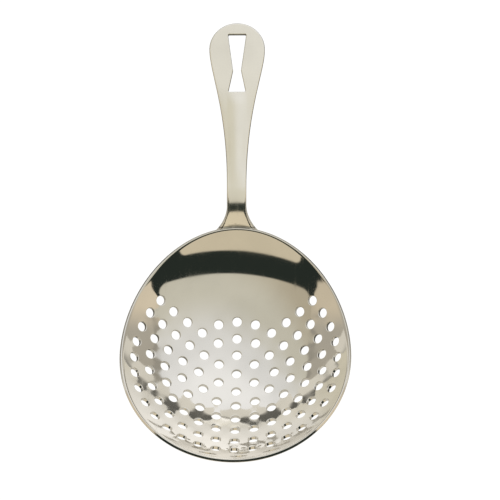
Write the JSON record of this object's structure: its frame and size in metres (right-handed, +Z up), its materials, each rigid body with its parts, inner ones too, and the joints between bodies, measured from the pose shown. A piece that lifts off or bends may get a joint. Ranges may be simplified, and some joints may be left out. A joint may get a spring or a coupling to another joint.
{
  "type": "julep strainer",
  "caption": "Bar strainer: a pierced oval dish pressed from sheet steel, with a flat bent handle welded behind its rim and a slot in the handle for hanging.",
  "frame": {"origin": "the point where the underside of the dish touches the table, with the strainer lying on its dish and the tip of its handle", "axes": "+Z up, +Y along the middle of the handle towards its tip, +X across the handle"},
  "size_m": [0.079, 0.1503, 0.0464],
  "materials": {
    "bowl_steel": "mirror polished, warm cast",
    "handle_steel": "polished, warm cast",
    "weld_steel": "as fused"
  },
  "bodies": {
    "root": {"bowl": "bowl_steel", "handle": "handle_steel", "spot_welds": "weld_steel"}
  },
  "joints": []
}
